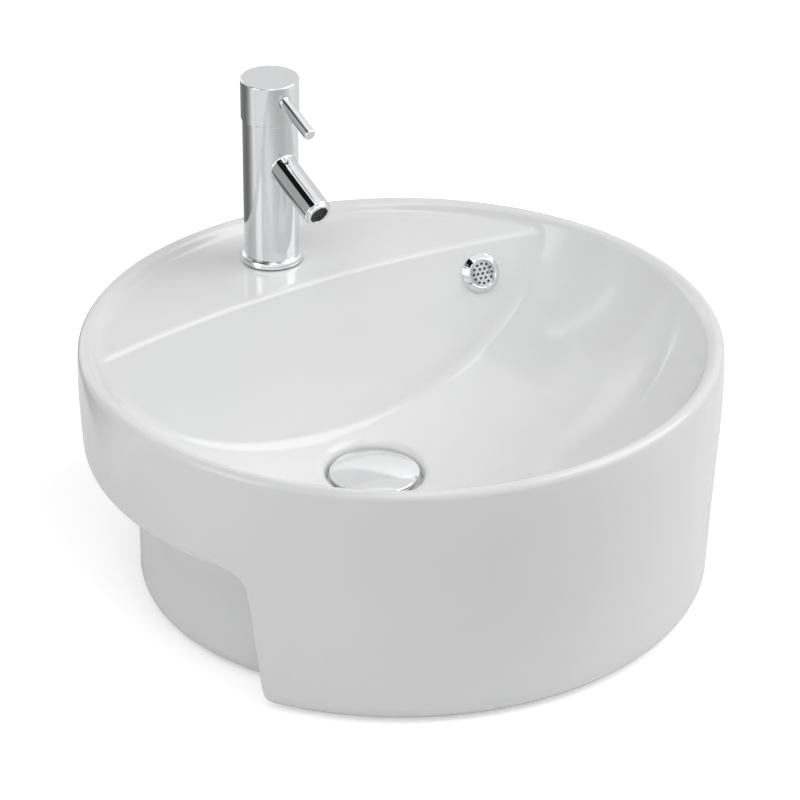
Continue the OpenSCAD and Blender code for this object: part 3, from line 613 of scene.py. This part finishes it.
def bisque():
    """Unglazed china of the foot."""
    return surface("bisque", (0.60, 0.575, 0.53), (0.70, 0.68, 0.64), 60,
                   (0.75, 0.9), 300, 900, 0.0001)


def chromed(name="chrome_plate", rough=(0.025, 0.06), low=0.775, high=0.80):
    """Chrome plate, a little cooler than grey."""
    return surface(name, (low, low + 0.01, low + 0.02), (high, high + 0.01, high + 0.02), 20,
                   rough, 60, 30, 0.00001, metallic=1.0)


def brushed_steel():
    """Plain stainless steel of the fixings and springs."""
    return surface("steel_plain", (0.56, 0.56, 0.55), (0.64, 0.64, 0.63), 120,
                   (0.25, 0.42), 300, 500, 0.00002, metallic=1.0)


def brass():
    """Machined brass, a little darker where it has tarnished."""
    return surface("brass_machined", (0.60, 0.46, 0.24), (0.78, 0.63, 0.36), 70,
                   (0.2, 0.4), 200, 400, 0.00002, metallic=1.0)


def rubber():
    """Matt black rubber of the seals."""
    return surface("rubber_black", (0.035, 0.035, 0.036), (0.06, 0.06, 0.06), 90,
                   (0.6, 0.85), 200, 900, 0.00006)


def plastic(name, low, high):
    """Moulded plastic with a fine, even grain."""
    return surface(name, (low, low, low * 0.985), (high, high, high * 0.985), 50,
                   (0.35, 0.55), 160, 700, 0.00003)


def disc_ceramic():
    """Ground alumina of the cartridge's discs."""
    return surface("ceramic_ground", (0.80, 0.80, 0.77), (0.87, 0.87, 0.85), 80,
                   (0.12, 0.25), 200, 600, 0.00001)


# Build

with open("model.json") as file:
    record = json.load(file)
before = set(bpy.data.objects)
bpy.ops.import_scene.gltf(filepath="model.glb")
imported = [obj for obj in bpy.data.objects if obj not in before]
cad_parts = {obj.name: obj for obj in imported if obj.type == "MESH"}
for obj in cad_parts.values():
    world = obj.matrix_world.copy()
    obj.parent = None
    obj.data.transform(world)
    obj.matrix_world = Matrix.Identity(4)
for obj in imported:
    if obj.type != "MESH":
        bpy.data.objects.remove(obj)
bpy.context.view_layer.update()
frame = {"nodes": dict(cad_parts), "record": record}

glaze = glazed()
foot = bisque()
chrome = chromed()

basin_lines = (
    grid_line(-229, 229, 2.5, (-44, 44, 1.6), (118, 156, 1.6)),
    grid_line(-229, 229, 2.5, (-10, 78, 1.6), (84, 122, 1.6), (-134, -100, 1.6)),
    grid_line(-4, 187, 2.5, (-4, 6, 1.5), (45, 75, 1.3), (93, 113, 1.6), (166, 187, 1.1)),
)
basin = field_object("basin", ceramic_field, basin_lines)
dress(basin, glaze, "basin", "ceramic", "basin_body")
basin.data.materials.append(foot)
# Only the flat foot that the basin stands on is left unglazed
for face in basin.data.polygons:
    if face.center.z < FOOT_TOP * MM:
        face.material_index = 1


def down_slope(y, z, start):
    """Distance along the spout's or the lever's slope from a point, and height over its axis."""
    down = math.radians(DROOP)
    y = start[0] - y
    z = start[1] - z
    return y * math.cos(down) + z * math.sin(down), y * math.sin(down) - z * math.cos(down)


def post(x, y, r, cx, cy):
    """Field of an upright round bar."""
    return np.hypot(x - cx, y - cy) - r


def tap_field(x, y, z):
    """Mixer body and spout in one casting, with a small fillet round the spout's root."""
    y = y - TAP_Y
    body = round_max(np.hypot(x, y) - TAP_R, np.maximum(BODY_Z - z, z - SEAM_Z), 0.5)
    along, up = down_slope(y, z, OUTLET)
    reach = OUTLET[0] / math.cos(math.radians(DROOP))
    spout = round_max(np.hypot(x, up) - SPOUT_R, np.maximum(along, reach + 6 - along), 0.8)
    whole = np.maximum(round_min(body, spout, 1), z - SEAM_Z)
    spigot = np.maximum(np.hypot(x, y) - TAP_HOLE_R + 0.7, np.maximum(SPIGOT_Z - z, z - BODY_Z - 2))
    whole = np.minimum(whole, spigot)
    # Seat of the cartridge, thread of its nut, and seat of the aerator
    seat = np.maximum(np.hypot(x, y) - CARTRIDGE_R - FIT, CARTRIDGE_Z - z)
    thread = np.maximum(np.hypot(x, y) - NUT_R - FIT, CARTRIDGE_TOP - z)
    nose = np.maximum(np.hypot(x, up) - AERATOR_R - FIT, -AERATOR_LEN - along)
    whole = np.maximum(whole, -np.minimum(np.minimum(seat, thread), nose))
    # Inlets, outlet chamber, spout's waterway and the stud's socket
    bend = (0, BEND_Y, OUTLET[1] + (BEND_Y - OUTLET[0]) * math.tan(math.radians(DROOP)))
    riser = (0, 0, RISER_FOOT_Z)
    ways = bar_field(x, y, z, (0, OUTLET[0], OUTLET[1]), bend, OUTLET_WAY_R)
    ways = np.minimum(ways, bar_field(x, y, z, bend, riser, SPOUT_WAY_R))
    ways = np.minimum(ways, bar_field(x, y, z, riser, (0, 0, CARTRIDGE_Z + 2), RISER_R))
    for side in (-1, 1):
        inlet = np.maximum(post(x, y, INLET_R, side * INLET_X, INLET_Y), z - SPIGOT_Z - INLET_DEPTH)
        supply = np.maximum(post(x, y, SUPPLY_R, side * INLET_X, INLET_Y), z - CARTRIDGE_Z - 1)
        ways = np.minimum(ways, np.minimum(inlet, supply))
    socket = np.maximum(post(x, y, STUD_R, 0, STUD_Y), z - SPIGOT_Z - STUD_DEPTH)
    return np.maximum(whole, -np.minimum(ways, socket))


def head_field(x, y, z):
    """Round head, hollow over the dome, with the holes of the stem, the lever and the grub screw."""
    y = y - TAP_Y
    head = round_max(np.hypot(x, y) - HEAD_R, z - HEAD_TOP, 0.9)
    ball = DOME_R + DOME_GAP - np.sqrt(x ** 2 + y ** 2 + (z - PIVOT_Z) ** 2)
    head = round_max(head, ball, 0.25)
    head = np.maximum(head, PIVOT_Z - z)
    lean = math.radians(LEAN)
    up = (z - PIVOT_Z) * math.cos(lean) - y * math.sin(lean)
    off = y * math.cos(lean) + (z - PIVOT_Z) * math.sin(lean)
    side = STEM_W / 2 + STEM_FIT
    socket = np.maximum(np.maximum(np.abs(x), np.abs(off)) - side, up - STEM_UP - STEM_FIT)
    along, over = down_slope(y, z, LEVER_ROOT)
    hole = np.maximum(np.hypot(x, over) - LEVER_R - FIT, -along)
    grub = np.maximum(np.hypot(x, z - GRUB_Z) - GRUB_R - FIT, -y)
    head = np.maximum(head, -np.minimum(socket, hole))
    return round_max(head, -grub, 0.3)


tap_lines = (
    grid_line(-24, 24, 0.8),
    grid_line(TAP_Y - 74, TAP_Y + 24, 0.8),
    grid_line(168, 290, 0.8),
)
tap = field_object("tap", tap_field, tap_lines)
dress(tap, chrome, "basin", "chrome", "tap_body")

head_lines = (
    grid_line(-22, 22, 0.6),
    grid_line(TAP_Y - 22, TAP_Y + 22, 0.6),
    grid_line(284, 318.5, 0.6),
)
head = field_object("head", head_field, head_lines)
dress(head, chrome, "handle", "chrome", "handle_head")


def slope_matrix(start):
    """Puts +Z along the slope, from a point of the mixer's middle plane."""
    down = math.radians(DROOP)
    forward = (0, -math.cos(down), -math.sin(down))
    return facing((0, TAP_Y + start[0], start[1]), forward)


def lever_profile():
    """Bar with a softly rounded tip."""
    tip = arc(LEVER_R - LEVER_TIP_R, LEVER_LEN - LEVER_TIP_R, LEVER_TIP_R, 0, 80, 8)
    return [(0, 0), (LEVER_R - 0.4, 0), (LEVER_R, 0.4)] + tip + [(0, LEVER_LEN + 0.2)]


lever = turned("lever", lever_profile(), slope_matrix(LEVER_ROOT), 72, closed=False)
dress(lever, chromed("chrome_lever", (0.2, 0.26)), "handle", "chrome", "handle_lever")


def ring_profile():
    """Base ring that rolls over from its foot to the body."""
    inside = TAP_HOLE_R - 0.65
    low = RING_Z + 1
    stretch = (BODY_Z - low) / RING_ROLL
    quarter = arc(RING_R - RING_ROLL, low, RING_ROLL, 0, 90, 14)
    roll = [(x, low + (z - low) * stretch) for x, z in quarter]
    return [(inside, RING_Z), (RING_R - 0.3, RING_Z), (RING_R, RING_Z + 0.3)] + roll + [(inside, BODY_Z)]


base_ring = turned("base_ring", ring_profile(), Matrix.Translation((0, TAP_Y, 0)), 144)
dress(base_ring, chrome, "basin", "chrome", "tap_base_ring")


def cap_profile():
    """Domed top with a rolled edge, and the hub and rib under it."""
    ball = (CAP_R ** 2 + CAP_DOME ** 2) / (2 * CAP_DOME)
    top = CAP_EDGE + CAP_DOME
    radii = [CAP_R * 0.985 * i / 24 for i in range(25)]
    dome = [(r, top - ball + math.sqrt(ball ** 2 - r ** 2)) for r in radii]
    edge = arc(CAP_R - 0.9, 1.15, 0.9, 62, -60, 8)
    rib_in, rib_out = CAP_RIB
    rib = [(CAP_R - 1.0, 0), (rib_out, 0), (rib_out, -CAP_RIB_H), (rib_in, -CAP_RIB_H), (rib_in, 0)]
    hub = [(CAP_HUB_R, 0), (CAP_HUB_R, -CAP_HUB_H), (PLUNGER_R, -CAP_HUB_H)]
    return dome + edge + rib + hub + [(PLUNGER_R, PLUNGER_GRIP), (0, PLUNGER_GRIP)]


cap = turned("cap", cap_profile(), Matrix.Translation((0, DRAIN_Y, CAP_Z)), 160, closed=False)
# The cap's chrome is a lighter copy of the chrome plate: painted brightness where the cap catches the light
dress(cap, chromed("chrome_cap_lightened", (0.06, 0.1), 0.86, 0.88), "cap", "chrome", "waste_cap")

overflow_place = facing(*overflow_frame())


def bezel_profile():
    """Cone with rolled edges, a stub into the ceramic, and the seat of the perforated disc."""
    outside = arc(BEZEL_R - 0.4, 0.6, 0.4, -60, 45, 5)
    outside += arc(BEZEL_TOP_R - 1, BEZEL_H - 1, 1, 42, 150, 10)
    seat = [(10.05, BEZEL_H - 0.7), (10.05, BEZEL_H - 1.7), (9, BEZEL_H - 1.7), (9, -6)]
    stub = [(BEZEL_STUB_R, -6), (BEZEL_STUB_R, 1.1), (13, 1.1), (13, 0.2)]
    return outside + seat + stub


bezel = turned("bezel", bezel_profile(), overflow_place, 128)
dress(bezel, chrome, "basin", "chrome", "overflow_bezel")


def grille_field(x, y, z):
    """Disc with one hole in the middle and two rings of holes."""
    disc = round_max(np.hypot(x, y) - GRILLE_R, np.abs(z) - GRILLE_T / 2, 0.2)
    holes = np.hypot(x, y) - HOLE_R
    for count, radius in HOLE_RINGS:
        for i in range(count):
            turn = 2 * math.pi * i / count
            hole = post(x, y, HOLE_R, radius * math.cos(turn), radius * math.sin(turn))
            holes = np.minimum(holes, hole)
    return round_max(disc, -holes, 0.15)


grille_side = grid_line(-10.4, 10.4, 0.22)
grille_lines = (grille_side, grille_side, grid_line(-0.9, 0.9, 0.2))
grille = field_object("grille", grille_field, grille_lines)
grille_place = overflow_place @ Matrix.Translation((0, 0, BEZEL_H - 0.5 - GRILLE_T / 2))
place_metres(grille, grille_place)
dress(grille, chrome, "basin", "chrome", "overflow_grille")


def nose_profile():
    """Threaded body of the aerator with a rolled nose."""
    end = NOSE_LIP_Z - AERATOR_LEN
    barrel = [(AERATOR_R, end), (AERATOR_R, 0.05), (AERATOR_R + 0.45, 0.05), (AERATOR_R + 0.6, 0.25)]
    roll = arc(AERATOR_R - 0.7, 1.5, 0.7, 10, 90, 6) + arc(NOSE_BORE_R + 0.6, 1.6, 0.6, 90, 180, 5)
    bore = [(NOSE_BORE_R, 0.2), (NOSE_SEAT_R, 0.2), (NOSE_SEAT_R, end)]
    return barrel + roll + bore


nose = turned("aerator_nose", nose_profile(), slope_matrix(OUTLET), 96)
dress(nose, chrome, "basin", "chrome", "aerator_housing")

# Materials of the nodes that keep their own meshes

slots = {entry["node"]: entry["material_slot"] for entry in frame["record"]["subparts"]}
finishes = {
    "chrome": chrome, "ceramic": glaze, "steel": brushed_steel(), "brass": brass(), "rubber": rubber(),
    "white_plastic": plastic("white_plastic", 0.80, 0.78),
    "grey_plastic": plastic("grey_plastic", 0.50, 0.51),
    "disc_ceramic": disc_ceramic(),
}
for name, node in frame["nodes"].items():
    node.data.materials.clear()
    node.data.materials.append(finishes[slots[name]])
    soften(node)
# The aerator's insert is a near-black grey: painted shade inside the spout's mouth, not the plastic's own
# colour
shaded_grid = plastic("shaded_grid", 0.09, 0.12)
frame["nodes"]["aerator_insert"].data.materials[0] = shaded_grid

# Camera

def make_camera():
    """Long lens at the viewing angle, aimed a little under the rim."""
    azimuth, elevation = math.radians(AZIMUTH), math.radians(ELEVATION)
    level = math.cos(elevation)
    back = Vector((math.sin(azimuth) * level, -math.cos(azimuth) * level, math.sin(elevation)))
    data = bpy.data.cameras.new("camera")
    data.lens = LENS
    data.sensor_width = 36
    data.clip_start = 0.1
    data.clip_end = 30
    camera = bpy.data.objects.new("camera", data)
    camera.location = (RIM_CENTRE + back * DISTANCE) * MM
    camera.rotation_mode = "QUATERNION"
    camera.rotation_quaternion = (AIM * MM - camera.location).to_track_quat("-Z", "Y")
    bpy.context.collection.objects.link(camera)
    bpy.context.scene.camera = camera


make_camera()


# Studio

def softbox(name, place, aim, side, power):
    """A soft square lamp that faces a point."""
    data = bpy.data.lights.new(name, "AREA")
    data.shape = "SQUARE"
    data.size = side
    data.energy = power
    lamp = bpy.data.objects.new(name, data)
    lamp.location = place
    lamp.rotation_mode = "QUATERNION"
    lamp.rotation_quaternion = (Vector(aim) - Vector(place)).to_track_quat("-Z", "Y")
    bpy.context.collection.objects.link(lamp)


def lamp_place(turn, rise):
    """Place of a lamp, clockwise from behind the basin and up from the floor."""
    a, e = math.radians(turn), math.radians(rise)
    level = LAMP_DISTANCE * math.cos(e)
    return (level * math.sin(a), level * math.cos(a), LAMP_AIM[2] + LAMP_DISTANCE * math.sin(e))


def seen_rays(nodes, links):
    """1 for rays from the camera, and for mirrored and transmitted ones."""
    path = nodes.new("ShaderNodeLightPath")
    seen = path.outputs["Is Camera Ray"]
    for ray in ("Is Glossy Ray", "Is Transmission Ray"):
        either = nodes.new("ShaderNodeMath")
        either.operation = "MAXIMUM"
        links.new(seen, either.inputs[0])
        links.new(path.outputs[ray], either.inputs[1])
        seen = either.outputs[0]
    return seen


def seen_white(name, colour):
    """A floor that takes light and shadow as its colour, and is seen lifted to white."""
    material, nodes, links, shader = new_material(name)
    shader.inputs["Base Color"].default_value = (*colour, 1)
    shader.inputs["Roughness"].default_value = 0.9
    shader.inputs["Specular IOR Level"].default_value = 0
    path = nodes.new("ShaderNodeLightPath")
    strength = None
    lifts = {"Is Camera Ray": FLOOR_LIFT, "Is Glossy Ray": MIRROR_LIFT, "Is Transmission Ray": MIRROR_LIFT}
    for ray, share in lifts.items():
        part = nodes.new("ShaderNodeMath")
        part.operation = "MULTIPLY_ADD"
        part.inputs[1].default_value = share
        part.inputs[2].default_value = 0
        links.new(path.outputs[ray], part.inputs[0])
        if strength:
            links.new(strength, part.inputs[2])
        strength = part.outputs[0]
    glow = nodes.new("ShaderNodeEmission")
    links.new(strength, glow.inputs["Strength"])
    both = nodes.new("ShaderNodeAddShader")
    links.new(shader.outputs[0], both.inputs[0])
    links.new(glow.outputs[0], both.inputs[1])
    links.new(both.outputs[0], nodes["Material Output"].inputs["Surface"])
    return material


def make_world():
    """A weak even light, seen as white."""
    world = bpy.data.worlds.new("studio")
    world.use_nodes = True
    nodes, links = world.node_tree.nodes, world.node_tree.links
    plain = nodes["Background"]
    plain.inputs["Color"].default_value = (1, 1, 1, 1)
    plain.inputs["Strength"].default_value = WORLD_LIGHT
    white = nodes.new("ShaderNodeBackground")
    white.inputs["Color"].default_value = (1, 1, 1, 1)
    white.inputs["Strength"].default_value = 1.0
    mix = nodes.new("ShaderNodeMixShader")
    links.new(seen_rays(nodes, links), mix.inputs["Fac"])
    links.new(plain.outputs[0], mix.inputs[1])
    links.new(white.outputs[0], mix.inputs[2])
    links.new(mix.outputs[0], nodes["World Output"].inputs["Surface"])
    bpy.context.scene.world = world


def sheet_object(name, corners, material, faces=None):
    """Thin sheet of the studio, one face unless faces are given."""
    mesh = bpy.data.meshes.new(name)
    mesh.from_pydata(corners, [], faces or [range(len(corners))])
    mesh.materials.append(material)
    made = bpy.data.objects.new(name, mesh)
    bpy.context.collection.objects.link(made)
    return made


def shade_of(name):
    """Greys of a studio card, which gives off its own greys so that no lamp changes them."""
    material, nodes, links, _ = new_material(name)
    greys = nodes.new("ShaderNodeVertexColor")
    greys.layer_name = "shade"
    glow = nodes.new("ShaderNodeEmission")
    links.new(greys.outputs["Color"], glow.inputs["Color"])
    links.new(glow.outputs[0], nodes["Material Output"].inputs["Surface"])
    return material


def card(name, corners, shades, faces=None):
    """A studio card that shows in mirrored rays alone, with a grey at each corner."""
    made = sheet_object(name, corners, shade_of(name), faces)
    layer = made.data.color_attributes.new("shade", "FLOAT_COLOR", "POINT")
    greys = np.ones((len(corners), 4), dtype=np.float32)
    greys[:, :3] = np.reshape(shades, (-1, 1))
    layer.data.foreach_set("color", greys.ravel())
    made.visible_camera = False
    made.visible_diffuse = False
    made.visible_shadow = False
    made.visible_transmission = False
    made.visible_volume_scatter = False


make_world()
floor_corners = [(x * FLOOR_SIDE, y * FLOOR_SIDE, FLOOR_Z) for x, y in ((-1, -1), (1, -1), (1, 1), (-1, 1))]
sheet_object("floor", floor_corners, seen_white("floor_white", (0.9, 0.9, 0.9)))
for name, (turn, rise, side, power) in LAMPS.items():
    softbox(name, lamp_place(turn, rise), LAMP_AIM, side, power)
# Cards seen only in mirrored rays paint reflections on the chrome: a black one overhead for the dark stripes
# along the spout and body, and a pale grey one behind
card("card_above", [(-1.15, -0.53, 1.25), (-0.2, -0.53, 1.25), (-0.2, 0.92, 1.25), (-1.15, 0.92, 1.25)],
     [0.01])
card("card_behind", [(-0.4, 2.4, 0.3), (2.6, 1.2, 0.3), (2.6, 1.2, 2.6), (-0.4, 2.4, 2.6)],
     [0.8])


def around_tap(turn, distance, height):
    """Place at an angle from the front towards the left, round the mixer's axis."""
    a = math.radians(turn)
    return (-math.sin(a) * distance, TAP_Y - math.cos(a) * distance, height)


def spaced(low, high, step):
    """Values from low to high in even steps."""
    count = round((high - low) / step)
    return [low + (high - low) * i / count for i in range(count + 1)]


def bent_card(name, turns, rows, shade):
    """Card bent round the mixer's axis, with rows of (distance, height) and a grey for each angle."""
    points = [Vector(around_tap(t, d, z)) * MM for d, z in rows for t in turns]
    n = len(turns)
    faces = [(i, i + 1, n + i + 1, n + i) for i in range(n - 1)]
    card(name, points, [shade(t) for _ in rows for t in turns], faces)


def painted_reflection_shade(turn):
    """Greys of a painted dark reflection on the mixer's chrome, from a card lying on the floor behind the
    basin on the left.
    """
    return np.interp(turn, REFLECTION_TURNS, REFLECTION_GREYS)


# A card on the floor, seen only in mirrored rays, paints a dark reflection down the left of the mixer
bent_card("reflection_card_floor", spaced(REFLECTION_TURNS[0], REFLECTION_TURNS[-1], 2), [(300, 0.8), (1300, 0.8)], painted_reflection_shade)
# A tall card on the left paints a grey reflection on the chrome
bent_card("card_left", spaced(105, 152, 6), [(1000, 160), (1000, 1100)], lambda turn: LEFT_GREY)

bpy.context.scene.view_settings.view_transform = "Standard"
